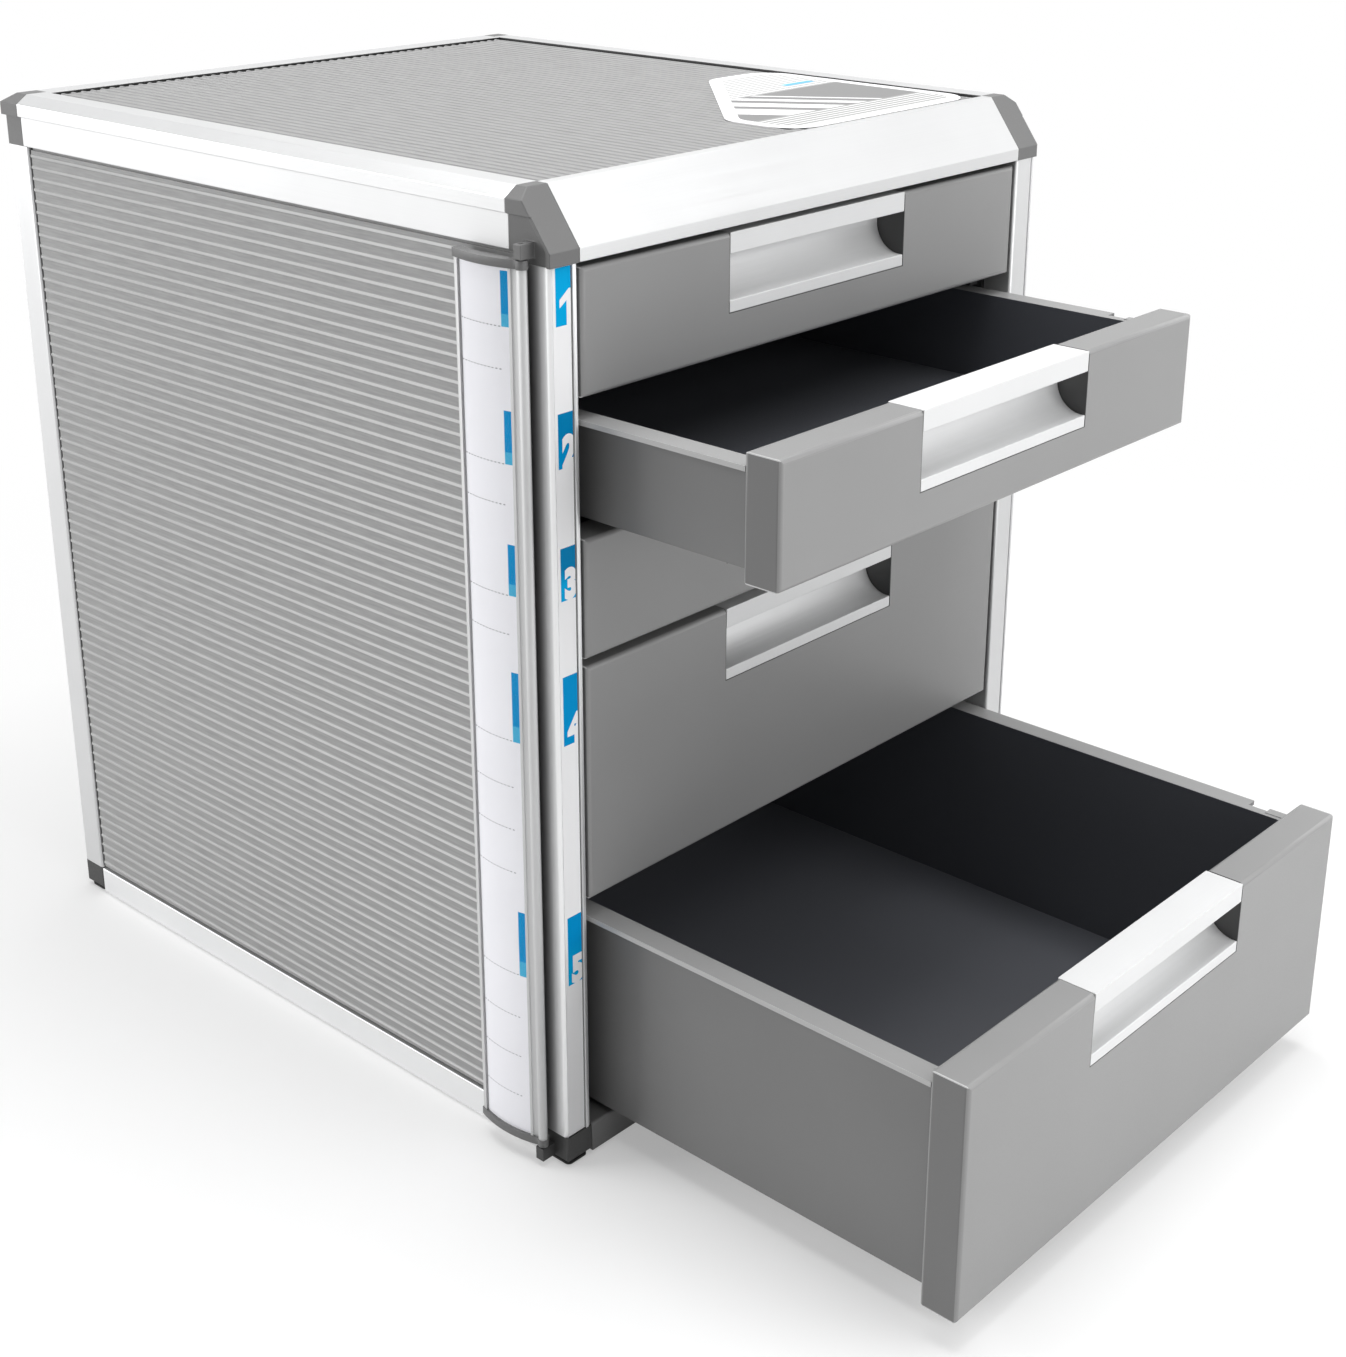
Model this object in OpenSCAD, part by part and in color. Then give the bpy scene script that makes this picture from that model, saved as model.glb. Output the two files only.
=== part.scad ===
// Desktop drawer cabinet for A4 papers: five drawers in an aluminium frame, with a swinging index panel.
// Millimetres. X runs to the right seen from the front, the fronts face -Y, Z is up, and the floor is z = 0.
// The origin is on the floor, midway between the frame's side faces, and midway between its back face
// and the front of the drawer that stands out furthest.

/* [Cabinet] */
// Width over the top side rails
body_w = 300; // [290:1:340]
// Depth over the top front fascia and the top back rail
body_d = 344; // [330:1:400]
// Side of the square corner that a post, a cap and a top side rail share
corner_w = 15.3; // [14.5:0.1:18]
// How far the posts stand in from the top rails at the sides and the back
side_step = 1.5; // [0.8:0.1:2]
// How far the posts stand in from the fascia at the front
front_step = 0.6; // [0.3:0.1:1.5]
// Wall of the aluminium posts
post_wall = 1.6; // [1.4:0.1:2.2]
// Depth of the back posts, front to back
back_post_d = 14.5; // [12:0.5:18]
// Radius of the posts' corners
post_r = 1.2; // [0.6:0.1:1.6]
// Radius of the left front post's corners
label_post_r = 2.6; // [1:0.1:3]

/* [Drawers] */
// Height of a shallow drawer's front
shallow_h = 47.3; // [45:0.1:60]
// Height of a deep drawer's front
deep_h = 97.8; // [80:0.1:130]
// Gap between one front and the next
front_gap = 3.2; // [2.5:0.1:5]
// Gap between a front and the posts
side_gap = 1.5; // [1:0.1:2.5]
// Gap over the top front
head_gap = 2.2; // [1:0.1:4]
// Gap under the bottom front
sill_gap = 1.4; // [1:0.1:4]
// Thickness of a front
front_t = 16.2; // [15.8:0.1:19]
// How far a closed front stands back from the fascia
front_inset = 1; // [0.5:0.1:3]
// Radius of a front's outer edges
front_edge_r = 1.8; // [0.5:0.1:3]
// How far the second drawer stands open
pull_2 = 91.4; // [0:0.1:250]
// How far the fifth drawer stands open
pull_5 = 178; // [0:0.5:250]

/* [Trays] */
// Wall of a tray
tray_wall = 2; // [1.5:0.1:3]
// Floor of a tray
tray_floor = 2; // [1.5:0.1:3]
// Width of the flange that slides on the runners
flange_w = 7.5; // [6:0.5:9]
// Thickness of that flange
flange_t = 2; // [1.5:0.1:3]
// From the edge of a flange to the side of its front
flange_in = 0.7; // [0.2:0.1:1.5]
// How far the flange lies below the top of its front
rim_drop = 5.4; // [4.6:0.1:8]
// How far a tray's underside lies above the bottom of its front
tray_lift = 1.6; // [1:0.1:5]
// Gap behind a closed tray
tray_end_gap = 8; // [4:0.5:20]
// Corner radius of a tray seen from above
tray_r = 5; // [3:0.5:10]
// Length of the narrow stretch at the front of the right flange
catch_l = 20; // [12:1:30]
// Length of the nib at the very front of that stretch
nib_l = 11; // [5:1:11.5]
// How far that nib stands out from the tray's wall
nib_w = 4.5; // [3:0.5:5.5]

/* [Handles] */
// Length of a handle
handle_l = 108.4; // [80:0.2:130]
// Height of a handle
handle_h = 30.8; // [29:0.1:36]
// Height of its upper front band
band_h = 8.2; // [6:0.1:10]
// Radius of the hollow for the fingers
scoop_r = 12.1; // [11:0.1:12.5]
// Height from a handle's top down to the centre of that hollow
scoop_z = 13.9; // [13:0.1:15]
// Wall of the handle's profile
handle_wall = 1.4; // [1:0.1:1.6]
// Gap between a handle's end and the side of its notch
handle_gap = 0.2; // [0.1:0.05:0.4]

/* [Runners] */
// Thickness of a runner frame
runner_t = 2; // [1.5:0.1:3]
// Thickness of a runner's ledges
ledge_t = 3; // [2:0.1:4]
// Gap between a tray's wall and the ledges
ledge_gap = 1.6; // [1:0.1:2.5]
// Gap between a flange and the ledge that carries it
slide_gap = 0.3; // [0.2:0.05:0.6]
// Gap between a flange and the guide above it
guide_gap = 0.6; // [0.4:0.05:1]
// Thickness of a guide
guide_t = 2; // [1:0.1:2.4]

/* [Top frame] */
// Height of the top side and back rails
rail_h = 22.2; // [18:0.1:25]
// Height of the rails' upper, prouder band and chamfer
band_low = 9.2; // [8:0.1:12]
// Width of the rails' top chamfer
chamfer_w = 5.5; // [3:0.1:7]
// Height of the rails' top chamfer
chamfer_h = 3.8; // [3:0.1:6]
// Sheet thickness of the rails and the fascia
skin = 2; // [1.5:0.1:2.5]
// Width of the back rail's top strip
back_strip_w = 17.3; // [15.5:0.1:22]
// Height of the fascia
fascia_h = 25.8; // [24:0.1:32]
// Height of the fascia's slope
slope_h = 20.7; // [15:0.1:22]
// Run of the fascia's slope, front to back
slope_d = 15.5; // [10:0.1:17]
// Width of the flat strip behind the slope
flat_d = 5; // [3:0.1:10]
// How far a front cap reaches back along the side
front_cap_d = 21; // [18:0.5:26]
// Width of the ridge along the edge of a front cap's slope
ridge_w = 2; // [1:0.1:4]
// How far that ridge stands out from the cap's side
ridge_out = 0.9; // [0.4:0.1:1.2]
// How far a back cap reaches forward along the side
back_cap_d = 13; // [10:0.5:13]

/* [Base] */
// Height of the foot pads
foot_h = 1; // [1:0.1:4]
// Side of a foot pad
foot_w = 11; // [8:0.5:12]
// Corner radius of a foot pad
foot_r = 2; // [0.5:0.1:3]
// From a foot pad to the front or back face of its cap
foot_in = 1.2; // [0.5:0.1:2]
// Height of the bottom rails and caps
sill_h = 12.8; // [11:0.1:18]
// Depth of the sill and the back bottom rail, front to back
sill_d = 12.5; // [10:0.5:14]
// How far a front bottom cap reaches back along the side
base_cap_d = 17.7; // [15.5:0.1:22]
// Chamfer along the outer bottom edges of the bottom caps
base_chamfer = 2; // [0.5:0.1:4]
// Radius of the bottom caps' upright edges
base_cap_r = 1; // [0.5:0.1:2]
// Wall of the sill
sill_wall = 2; // [1.5:0.1:3]
// Radius of the sill's upper front edge
sill_edge_r = 1.2; // [0.5:0.1:2]
// Thickness of the base panel
base_t = 2; // [1.5:0.1:3]
// Height of the base panel's underside over the rails' underside
base_up = 8; // [3:0.1:8]

/* [Panels] */
// Thickness of a panel without its ribs
panel_t = 2; // [1.5:0.1:3]
// Height of a rib
rib_h = 0.5; // [0.3:0.05:0.8]
// Width of a rib's foot
rib_w = 1.9; // [1:0.1:2.5]
// Width of a rib's crest
rib_top_w = 0.9; // [0.3:0.1:0.9]
// Distance from rib to rib
rib_pitch = 5; // [4:0.1:8]
// Thickness of a ribbed field, over the sheet that carries it
field_t = 1; // [0.5:0.1:1.2]
// How far the side and back panels stand in from the posts
panel_in = 0.9; // [0.8:0.1:1.2]
// How far the top panel lies below the rails
top_in = 1.1; // [0.9:0.1:1.6]
// Shadow gap between a ribbed field and its frame
field_gap = 1.3; // [0.5:0.1:2]

/* [Index panel] */
// Height of the hinge axis over the post's side face
hinge_out = 4.4; // [4.2:0.1:6]
// Distance from the cabinet's front face back to the hinge axis
hinge_back = 10.2; // [9.5:0.1:11]
// Radius of the bead along the hinge edge
bead_r = 1.9; // [1.5:0.1:2.1]
// Radius of the knuckles on the end caps
knuckle_r = 2.2; // [2.1:0.1:3]
// Radius of the hinge pins
pin_r = 0.9; // [0.8:0.1:1.1]
// Running clearance of a pin in its boss
pin_play = 0.05; // [0.02:0.01:0.08]
// Length of a hinge pin
pin_l = 5; // [3:0.5:5.5]
// Width of the index panel from its hinge axis to its free edge
index_w = 33.2; // [26:0.1:40]
// Radius of the index panel's curve, to the face of its film
index_r = 50; // [45:1:80]
// Thickness of the index panel's curved sheet
index_sheet = 1.6; // [1.2:0.1:2]
// Thickness of the index card
card_t = 0.3; // [0.2:0.05:0.5]
// Thickness of the clear film over the card
film_t = 0.4; // [0.3:0.05:0.6]
// Air gap between the card and its film
card_play = 0.1; // [0.05:0.01:0.2]
// Width of the lips that hold the film
index_lip_w = 2.2; // [1.5:0.1:3]
// Width of the flange between the bead and the first lip
index_flange_w = 4; // [3:0.1:6]
// How far the lips stand over the film
index_lip_out = 0.4; // [0.2:0.1:0.8]
// How far the end caps stand over the film
end_cap_out = 0.8; // [0.5:0.1:1.2]
// How far the end caps wrap behind and past the sheet
end_cap_wrap = 0.6; // [0.3:0.1:1]
// From the hinge axis to the outermost line of the curve, across the panel
index_rise = 3.4; // [2.6:0.1:4.5]
// How far the curve's centre lies behind the middle of the panel
index_lean = 1.6; // [0:0.1:3]
// Gap between the index panel and the top rail
index_head_gap = 1.3; // [1:0.1:3]
// Height of the index panel's lower end over the underside of the frame
index_sill = 8; // [6.5:0.1:12]
// Height of an index end cap
end_cap_h = 3.2; // [3:0.1:6]
// Gap between an end cap and its boss
boss_gap = 0.3; // [0.2:0.05:0.5]
// Width of a hinge boss, front to back
boss_w = 4; // [3.8:0.1:7.5]
// Height of a hinge boss
boss_h = 5.6; // [5.5:0.1:6]

/* [Label strip] */
// Width of the label channel in the left front post
channel_w = 9.6; // [8:0.1:10]
// Depth of that channel
channel_t = 0.9; // [0.6:0.1:1]
// From the inner face of the post to the channel
channel_in = 3.2; // [2.6:0.1:3.5]

/* [Sticker] */
// Thickness of the sticker on the top
sticker_t = 0.2; // [0.1:0.05:0.4]
// Length of the sticker, left to right
sticker_w = 123; // [90:1:130]
// Depth of the sticker, front to back
sticker_d = 120; // [90:1:130]
// Corner radius of the sticker
sticker_r = 16; // [5:0.5:20]
// Depth of the sticker's left side, up to its slanted edge
sticker_side = 30.5; // [20:0.5:50]
// From the sticker's right edge to the right top rail
sticker_in = 1.6; // [1.5:0.1:20]
// From the sticker's front edge to the fascia
sticker_back = 2.5; // [2:0.5:30]

/* [Screws] */
// Radius of a screw's shank
screw_r = 1.5; // [1:0.1:2]
// Radius of a screw's head
screw_head_r = 3; // [2.5:0.1:3.5]
// Height of a screw's head
screw_head_h = 1.6; // [1:0.1:2]
// Length of a screw's shank
screw_l = 8; // [5:0.5:9]

/* [Hidden] */
$fn = 64;

aluminium = [0.88, 0.89, 0.90];
grey_plastic = [0.47, 0.47, 0.48];
grey_panel = [0.60, 0.60, 0.61];
card_white = [0.93, 0.93, 0.96];

// Faces of the frame
face_x = body_w / 2;
post_x = face_x - side_step;
inner_x = face_x - corner_w;
pulls = [0, pull_2, 0, 0, pull_5];
reach = max(0, max(pulls) - front_inset);
front_y = (reach - body_d) / 2;
back_y = (reach + body_d) / 2;
post_front_y = front_y + front_step;
post_front_end = front_y + corner_w;
post_back_y = back_y - side_step;
post_back_end = post_back_y - back_post_d;
base_z = foot_h;
sill_z = base_z + sill_h;

// The stack of drawers, counted from the top
front_heights = [shallow_h, shallow_h, shallow_h, deep_h, deep_h];
drawers = len(front_heights);
function stack(i) = i == 0 ? 0 : stack(i - 1) + front_heights[i - 1] + front_gap;
opening_z = sill_z + sill_gap + stack(drawers) - front_gap + head_gap;
body_h = opening_z + fascia_h;
rail_low_z = body_h - rail_h;
function front_top(i) = opening_z - head_gap - stack(i);
function front_bottom(i) = front_top(i) - front_heights[i];
function rim_top(i) = front_top(i) - rim_drop;
closed_y = front_y + front_inset;
front_w = 2 * (inner_x - side_gap);

// The trays and what they slide on
flange_x = front_w / 2 - flange_in;
tray_x = flange_x - flange_w;
panel_back_y = post_back_y - panel_in;
tray_l = panel_back_y - panel_t - tray_end_gap - closed_y - front_t;
ledge_x = tray_x + ledge_gap;
ledge_y = closed_y + front_t + 1;

// The index panel: its hinge axis, and the centre of its curve
hinge_x = -post_x - hinge_out;
hinge_y = front_y + hinge_back;
index_free_y = hinge_y + index_w;
index_centre = [hinge_x - index_rise + index_r, hinge_y + index_w / 2 + index_lean];
sheet_out_r = index_r - film_t - card_play - card_t;
sheet_in_r = sheet_out_r - index_sheet;
lip_r = index_r + index_lip_out;
end_cap_r = index_r + end_cap_out;
index_top_z = rail_low_z - index_head_gap;
index_bottom_z = base_z + index_sill;
boss_out = hinge_out + knuckle_r;

// Draws its children, an outline in X and Z, from y1 forward over a length
module along_y(y1, length)
    translate([0, y1, 0]) rotate([90, 0, 0]) linear_extrude(length) children();

// Draws its children, an outline in Y and Z, from x0 to the right over a length
module along_x(x0, length)
    translate([x0, 0, 0]) rotate([90, 0, 90]) linear_extrude(length) children();

module box(low, high) translate(low) cube(high - low);

module rounded_rectangle(low, high, r) {
    translate([low.x + r, low.y]) square([high.x - low.x - 2 * r, high.y - low.y]);
    translate([low.x, low.y + r]) square([high.x - low.x, high.y - low.y - 2 * r]);
    for (x = [low.x + r, high.x - r], y = [low.y + r, high.y - r]) translate([x, y]) circle(r);
}

module mirrored(right) {
    if (right) mirror([1, 0, 0]) children();
    else children();
}

// Top rails: u runs inward from the outer face, v down from the top is negative
module rail_outline(strip_w) {
    bend = chamfer_w + 0.6;
    inner = side_step + skin;
    polygon([
        [0, -band_low], [0, -chamfer_h], [chamfer_w, 0], [strip_w, 0], [strip_w, -skin], [bend, -skin],
        [inner, -skin - (bend - inner) * chamfer_h / chamfer_w],
        [inner, -rail_h], [side_step, -rail_h], [side_step, -band_low]
    ]);
}

// The same outer line, closed as a solid for a corner cap
module cap_outline(width, height) {
    polygon([
        [0, -band_low], [0, -chamfer_h], [chamfer_w, 0], [width, 0],
        [width, -height], [side_step, -height], [side_step, -band_low]
    ]);
}

module top_side_rail(right = false) {
    y1 = back_y - back_cap_d;
    mirrored(right) color(aluminium)
        translate([-face_x, 0, body_h]) along_y(y1, y1 - front_y - front_cap_d) rail_outline(corner_w);
}

module rail_top_back() {
    color(aluminium) translate([inner_x, back_y, body_h]) rotate([90, 0, -90])
        linear_extrude(2 * inner_x) rail_outline(back_strip_w);
}

// Front fascia, with its slope
module fascia_line(t) {
    polygon([
        [front_y, -fascia_h], [front_y, -slope_h], [front_y + slope_d, 0], [front_y + slope_d + flat_d, 0],
        [front_y + slope_d + flat_d, -t], [front_y + slope_d + t / 2, -t],
        [front_y + t, -slope_h - t / 2], [front_y + t, -fascia_h]
    ]);
}

module fascia_front() {
    color(aluminium) translate([0, 0, body_h]) along_x(-inner_x, 2 * inner_x) fascia_line(skin);
}

// Corner caps
module screw_bore() {
    translate([0, 0, -screw_l - screw_head_h]) cylinder(h = screw_l + screw_head_h, r = screw_r + 0.05);
    translate([0, 0, -screw_head_h]) cylinder(h = screw_head_h + 1, r = screw_head_r + 0.1);
}

// A back cap's screw runs forward from its back face
module at_back_cap_screw(high) {
    z = high ? body_h - band_low - (rail_h - band_low) / 2 : base_z + sill_h / 2;
    translate([-(inner_x + post_x) / 2, post_back_y, z]) rotate([-90, 0, 0]) children();
}

module cap_top_back(right = false) {
    mirrored(right) color(grey_plastic) difference() {
        intersection() {
            translate([-face_x, 0, body_h]) along_y(back_y, back_cap_d) cap_outline(corner_w, rail_h);
            translate([-inner_x, back_y, body_h]) rotate([90, 0, -90])
                linear_extrude(corner_w) cap_outline(back_cap_d, rail_h);
        }
        at_back_cap_screw(true) screw_bore();
    }
}

// The side view of a front cap, or of a plate of thickness t along its slope
module front_cap_side(t = front_cap_d) {
    slope_back = front_y + slope_d;
    polygon(t < front_cap_d ?
        [[front_y, -fascia_h], [front_y, -slope_h], [slope_back, 0], [slope_back + t, 0],
         [front_y + t, -slope_h], [front_y + t, -fascia_h]] :
        [[front_y, -fascia_h], [front_y, -slope_h], [slope_back, 0], [front_y + front_cap_d, 0],
         [front_y + front_cap_d, -rail_h], [post_front_end, -rail_h], [post_front_end, -fascia_h]]);
}

module cap_top_front(right = false) {
    mirrored(right) color(grey_plastic) {
        intersection() {
            translate([-face_x, 0, body_h]) along_y(front_y + front_cap_d, front_cap_d)
                cap_outline(corner_w, fascia_h);
            translate([0, 0, body_h]) along_x(-face_x, corner_w) front_cap_side();
        }
        intersection() {
            translate([0, 0, body_h]) along_x(-post_x - ridge_out, ridge_out + 1) front_cap_side(ridge_w);
            box([-face_x, front_y, body_h - fascia_h], [-inner_x, front_y + front_cap_d, body_h - band_low]);
        }
    }
}

// A boss on a left front cap takes a pin of the index panel
module hinge_boss(z0) {
    difference() {
        box([-post_x - boss_out, hinge_y - boss_w / 2, z0], [-post_x, hinge_y + boss_w / 2, z0 + boss_h]);
        translate([hinge_x, hinge_y, z0 - 1]) cylinder(h = boss_h + 2, r = pin_r + pin_play);
    }
}

module cap_top_front_left() {
    cap_top_front();
    color(grey_plastic) hinge_boss(index_top_z + boss_gap);
}

module base_cap(y0, y1, right = false, screwed = false) {
    c = base_chamfer;
    z1 = base_z + sill_h;
    mirrored(right) color(grey_plastic) difference() {
        intersection() {
            translate([0, 0, base_z]) linear_extrude(sill_h)
                rounded_rectangle([-post_x, y0], [-inner_x, y1], base_cap_r);
            along_y(y1, y1 - y0) polygon([[-post_x + c, base_z], [-inner_x, base_z], [-inner_x, z1],
                [-post_x, z1], [-post_x, base_z + c]]);
            along_x(-post_x, post_x - inner_x) polygon(screwed ?
                [[y0, base_z], [y1 - c, base_z], [y1, base_z + c], [y1, z1], [y0, z1]] :
                [[y0 + c, base_z], [y1, base_z], [y1, z1], [y0, z1], [y0, base_z + c]]);
        }
        if (screwed) at_back_cap_screw(false) screw_bore();
    }
}

module base_cap_front(right = false) base_cap(post_front_y, front_y + base_cap_d, right);

module base_cap_back(right = false) base_cap(post_back_end, post_back_y, right, true);

module cap_bottom_front_left() {
    base_cap_front();
    color(grey_plastic) hinge_boss(index_bottom_z - boss_gap - boss_h);
}

// Posts
module post_tube(y0, y1, r) {
    difference() {
        rounded_rectangle([-post_x, y0], [-inner_x, y1], r);
        rounded_rectangle([-post_x + post_wall, y0 + post_wall], [-inner_x - post_wall, y1 - post_wall],
            post_r / 2);
    }
}

module post_front_left() {
    channel_x = -inner_x - channel_in - channel_w;
    color(aluminium) translate([0, 0, sill_z]) linear_extrude(opening_z - sill_z) difference() {
        post_tube(post_front_y, post_front_end, label_post_r);
        translate([channel_x, post_front_y - 1]) square([channel_w, 1 + channel_t]);
    }
}

module post_front_right() {
    groove_in = 1.9;
    groove_w = 0.8;
    color(aluminium) translate([0, 0, sill_z]) linear_extrude(opening_z - sill_z) difference() {
        mirror([1, 0]) post_tube(post_front_y, post_front_end, post_r);
        translate([post_x - groove_in - groove_w, post_front_y - 1]) square([groove_w, 1 + groove_w]);
    }
}

module post_back(right = false) {
    mirrored(right) color(aluminium) translate([0, 0, sill_z])
        linear_extrude(rail_low_z - sill_z) post_tube(post_back_end, post_back_y, post_r);
}

module label_strip() {
    margin = 0.25;
    x0 = -inner_x - channel_in - channel_w + margin;
    color(card_white) box(
        [x0, post_front_y + channel_t - card_t, sill_z + 0.5],
        [x0 + channel_w - 2 * margin, post_front_y + channel_t, opening_z - 0.5]
    );
}

// Bottom frame
module tube_outline(width, height) {
    difference() {
        square([width, height]);
        translate([post_wall, post_wall]) square([width - 2 * post_wall, height - 2 * post_wall]);
    }
}

module rail_bottom_side(right = false) {
    y1 = post_back_end;
    mirrored(right) color(aluminium) translate([-post_x, 0, base_z])
        along_y(y1, y1 - front_y - base_cap_d) tube_outline(sill_d, sill_h);
}

module rail_bottom_back() {
    color(aluminium) translate([0, post_back_y - sill_d, base_z])
        along_x(-inner_x, 2 * inner_x) tube_outline(sill_d, sill_h);
}

module sill_front() {
    r = sill_edge_r;
    color([0.33, 0.33, 0.34]) translate([0, post_front_y, base_z]) along_x(-inner_x, 2 * inner_x) difference() {
        union() {
            square([sill_d, sill_h - r]);
            translate([r, 0]) square([sill_d - r, sill_h]);
            translate([r, sill_h - r]) circle(r);
        }
        translate([sill_wall, -1]) square([sill_d - 2 * sill_wall, sill_h - sill_wall + 1]);
    }
}

module panel_base() {
    z0 = base_z + base_up;
    x = post_x - sill_d;
    color(grey_panel) difference() {
        box([-x, post_front_y + sill_d, z0], [x, post_back_y - sill_d, z0 + base_t]);
        for (right = [false, true]) mirrored(right) {
            box([-post_x, front_y, z0 - 1], [-inner_x, front_y + base_cap_d, z0 + base_t + 1]);
            box([-post_x, post_back_end, z0 - 1], [-inner_x, back_y, z0 + base_t + 1]);
        }
    }
}

module foot_pads() {
    x = (post_x + inner_x) / 2;
    y_front = post_front_y + foot_w / 2 + foot_in;
    y_back = post_back_y - foot_w / 2 - foot_in;
    color([0.15, 0.15, 0.15]) for (side = [-1, 1], y = [y_front, y_back])
        translate([side * x, y, 0]) linear_extrude(foot_h)
            rounded_rectangle([-foot_w / 2, -foot_w / 2], [foot_w / 2, foot_w / 2], foot_r);
}

module cap_screws() {
    for (right = [false, true], high = [false, true])
        mirrored(right) color([0.7, 0.7, 0.7]) at_back_cap_screw(high) difference() {
            union() {
                translate([0, 0, -screw_head_h]) cylinder(h = screw_head_h, r = screw_head_r);
                translate([0, 0, -screw_l - screw_head_h]) cylinder(h = screw_l + 0.1, r = screw_r);
            }
            for (turn = [0, 90]) rotate([0, 0, turn])
                translate([-screw_head_r / 2, -0.4, -0.9]) cube([screw_head_r, 0.8, 2]);
        }
}

// Panels: a thin sheet reaches its frame and carries a thicker ribbed field that stops short of it.
// The outline has u along the panel, across the ribs, and v out of the field's face.
module ribbed_outline(length) {
    field = length - 2 * field_gap;
    count = floor((field - rib_w) / rib_pitch) + 1;
    first = (length - (count - 1) * rib_pitch) / 2;
    rib = [[-rib_w / 2, 0], [-rib_top_w / 2, rib_h], [rib_top_w / 2, rib_h], [rib_w / 2, 0]];
    polygon(concat(
        [[0, -panel_t], [0, -field_t], [field_gap, -field_t], [field_gap, 0]],
        [for (i = [0 : count - 1], p = rib) [first + i * rib_pitch + p.x, p.y]],
        [[length - field_gap, 0], [length - field_gap, -field_t], [length, -field_t], [length, -panel_t]]
    ));
}

module panel_side(right = false) {
    y0 = post_front_end;
    y1 = post_back_end;
    x_sheet = -post_x + panel_in + field_t;
    mirrored(right) color(grey_panel) difference() {
        translate([-post_x + panel_in, y1, sill_z]) rotate([90, -90, 0])
            linear_extrude(y1 - y0) ribbed_outline(rail_low_z - sill_z);
        for (y = [y0 - 1, y1 - field_gap])
            box([-face_x, y, sill_z - 1], [x_sheet, y + 1 + field_gap, rail_low_z + 1]);
    }
}

module panel_top() {
    y0 = front_y + slope_d + flat_d;
    y1 = back_y - back_strip_w;
    z = body_h - top_in;
    color([0.72, 0.72, 0.73]) difference() {
        translate([-inner_x, 0, z]) along_y(y1, y1 - y0) ribbed_outline(2 * inner_x);
        for (y = [y0 - 1, y1 - field_gap])
            box([-face_x, y, z - field_t], [face_x, y + 1 + field_gap, body_h]);
    }
}

module panel_back() {
    color(grey_panel) box([-inner_x, panel_back_y - panel_t, sill_z], [inner_x, panel_back_y, rail_low_z]);
}

module top_sticker() {
    z = body_h - top_in + rib_h;
    r = sticker_r;
    x0 = inner_x - sticker_in - sticker_w + r;
    x1 = inner_x - sticker_in - r;
    y0 = front_y + slope_d + flat_d + sticker_back + r;
    y1 = y0 + sticker_d - 2 * r;
    side_end = y0 - r + sticker_side;
    slant_end = x0 + y1 - side_end;
    color([0.85, 0.86, 0.88]) translate([0, 0, z]) linear_extrude(sticker_t) hull()
        for (p = [[x0, y0], [x1, y0], [x1, y1], [slant_end, y1], [x0, side_end]])
            translate(p) circle(r, $fn = 48);
}

// Runner frames: a plate between the posts, with a ledge and a guide for each drawer
module runner_frame(right = false) {
    y1 = post_back_end;
    mirrored(right) color([0.35, 0.35, 0.36]) {
        box([-inner_x - runner_t, post_front_end, sill_z], [-inner_x, y1, opening_z]);
        for (i = [0 : drawers - 1]) {
            ledge_z = rim_top(i) - flange_t - slide_gap;
            guide_z = rim_top(i) + guide_gap;
            box([-inner_x, ledge_y, ledge_z - ledge_t], [-ledge_x, y1, ledge_z]);
            box([-inner_x, ledge_y, guide_z], [-(flange_x + ledge_x) / 2, y1, guide_z + guide_t]);
        }
    }
}

// Drawers: each is drawn closed and then moved forward by its pull
module pulled(i) translate([0, -pulls[i], 0]) children();

module drawer_front(i) {
    x = front_w / 2;
    r = front_edge_r;
    z0 = front_bottom(i);
    z1 = front_top(i);
    y1 = closed_y + front_t;
    notch_x = handle_l / 2 + handle_gap;
    color([0.55, 0.55, 0.56]) pulled(i) difference() {
        intersection() {
            translate([0, 0, z0]) linear_extrude(z1 - z0) rounded_rectangle([-x, closed_y], [x, y1], r);
            along_x(-x, 2 * x) rounded_rectangle([closed_y, z0], [y1, z1], r);
        }
        box([-notch_x, closed_y - 1, z1 - handle_h], [notch_x, y1 + 1, z1 + 1]);
    }
}

module drawer_tray(i) {
    y0 = closed_y + front_t;
    y1 = y0 + tray_l;
    z0 = front_bottom(i) + tray_lift;
    z1 = rim_top(i);
    color([0.45, 0.45, 0.46]) pulled(i) {
        difference() {
            translate([0, 0, z0]) linear_extrude(z1 - z0) rounded_rectangle([-tray_x, y0], [tray_x, y1], tray_r);
            translate([0, 0, z0 + tray_floor]) linear_extrude(z1 - z0)
                rounded_rectangle([-tray_x + tray_wall, y0 + tray_wall], [tray_x - tray_wall, y1 - tray_wall],
                    tray_r - tray_wall);
        }
        box([-flange_x, y0, z1 - flange_t], [-tray_x, y1 - tray_r, z1]);
        box([tray_x, y0 + catch_l, z1 - flange_t], [flange_x, y1 - tray_r, z1]);
        box([tray_x, y0, z1 - flange_t], [tray_x + nib_w / 2, y0 + catch_l, z1]);
        box([tray_x, y0, z1 - flange_t], [tray_x + nib_w, y0 + nib_l, z1 + guide_gap / 2]);
        box([-tray_x, y0, z0], [-tray_x + tray_r, y0 + tray_wall, z1]);
        box([tray_x - tray_r, y0, z0], [tray_x, y0 + tray_wall, z1]);
    }
}

module handle_outline() {
    back = handle_wall + scoop_r;
    translate([0, -handle_wall]) square([front_t, handle_wall]);
    translate([0, -band_h]) square([handle_wall, band_h]);
    translate([back, -scoop_z]) square([handle_wall, scoop_z]);
    translate([0, -handle_h]) square([handle_wall, handle_h - scoop_z - scoop_r]);
    translate([handle_wall, -scoop_z]) intersection() {
        difference() {
            circle(back);
            circle(scoop_r);
        }
        translate([0, -back]) square(back);
    }
}

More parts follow.
